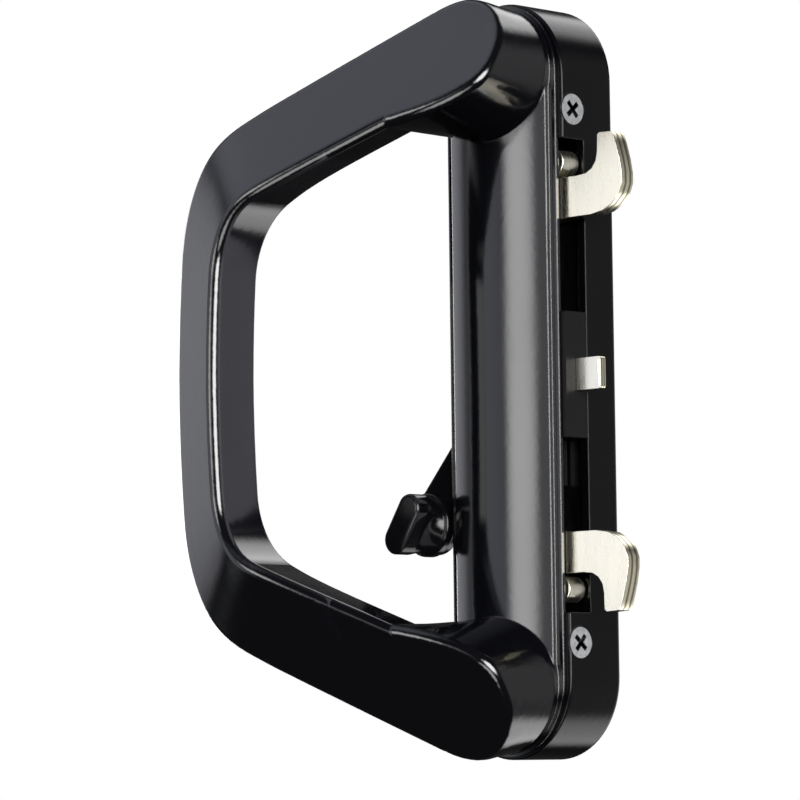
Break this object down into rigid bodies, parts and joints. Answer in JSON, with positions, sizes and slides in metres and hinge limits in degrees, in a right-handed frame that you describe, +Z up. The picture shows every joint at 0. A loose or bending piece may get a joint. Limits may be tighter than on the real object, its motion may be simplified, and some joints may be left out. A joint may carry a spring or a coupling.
{
  "type": "sliding door lock",
  "caption": "Surface-mounted sliding door lock with an offset D pull handle, a snib lever and hook bolts that swing into the jamb.",
  "frame": {"origin": "centre of the lock case's back face, which lies on the door", "axes": "+X towards the jamb the hooks reach into, +Y into the door, +Z up along the handle"},
  "size_m": [0.1083, 0.0677, 0.187],
  "materials": {
    "black_casting": "gloss",
    "nickel": "satin",
    "bright_plate": "satin",
    "zinc_screw": "bright zinc",
    "spring_steel": "satin",
    "black_plastic": "satin"
  },
  "bodies": {
    "base": {"pull_handle": "black_casting", "lock_case": "black_casting", "cassette_back_plate": "bright_plate", "cassette_front_plate": "bright_plate", "cassette_spacers": "bright_plate", "cassette_screws": "zinc_screw", "top_stop_post": "nickel", "bottom_stop_post": "nickel", "top_pivot_pin": "nickel", "bottom_pivot_pin": "nickel", "guide_block": "black_plastic", "plunger_spring": "spring_steel", "case_screw_top": "zinc_screw", "case_screw_bottom": "zinc_screw"},
    "snib": {"snib_lever": "black_casting", "snib_cam": "bright_plate", "hub_clip": "spring_steel", "snib_knob": "black_casting", "knob_screw": "zinc_screw"},
    "top_hook_body": {"top_hook": "nickel"},
    "bottom_hook_body": {"bottom_hook": "nickel"},
    "top_bar_body": {"top_drive_bar": "bright_plate"},
    "bottom_bar_body": {"bottom_drive_bar": "bright_plate"},
    "trigger": {"trigger_plunger": "nickel"}
  },
  "joints": [
    {"name": "snib_turn", "type": "hinge", "parent": "base", "child": "snib", "pos_m": [0, -0.014, 0], "axis": [0, 1, 0], "range_deg": [0, 101]},
    {"name": "top_hook_turn", "type": "hinge", "parent": "base", "child": "top_hook_body", "pos_m": [0.01, -0.0143, 0.044], "axis": [0, 1, 0], "range_deg": [0, 100]},
    {"name": "bottom_hook_turn", "type": "hinge", "parent": "base", "child": "bottom_hook_body", "pos_m": [0.01, -0.0143, -0.044], "axis": [0, -1, 0], "range_deg": [0, 100]},
    {"name": "top_bar_slide", "type": "slide", "parent": "base", "child": "top_bar_body", "axis": [0, 0, 1], "range_m": [0, 0.01226]},
    {"name": "bottom_bar_slide", "type": "slide", "parent": "base", "child": "bottom_bar_body", "axis": [0, 0, -1], "range_m": [0, 0.01226]},
    {"name": "trigger_press", "type": "slide", "parent": "base", "child": "trigger", "axis": [-1, 0, 0], "range_m": [0, 0.0045], "stiffness_N_per_m": 180, "springref_m": -0.004, "deforming": ["plunger_spring"]}
  ],
  "couplings": [
    {"joint": "top_hook_turn", "follows": "snib_turn", "ratio": 0.9901},
    {"joint": "bottom_hook_turn", "follows": "snib_turn", "ratio": 0.9901},
    {"joint": "top_bar_slide", "follows": "snib_turn", "m_per_rad": 0.006953},
    {"joint": "bottom_bar_slide", "follows": "snib_turn", "m_per_rad": 0.006953}
  ]
}
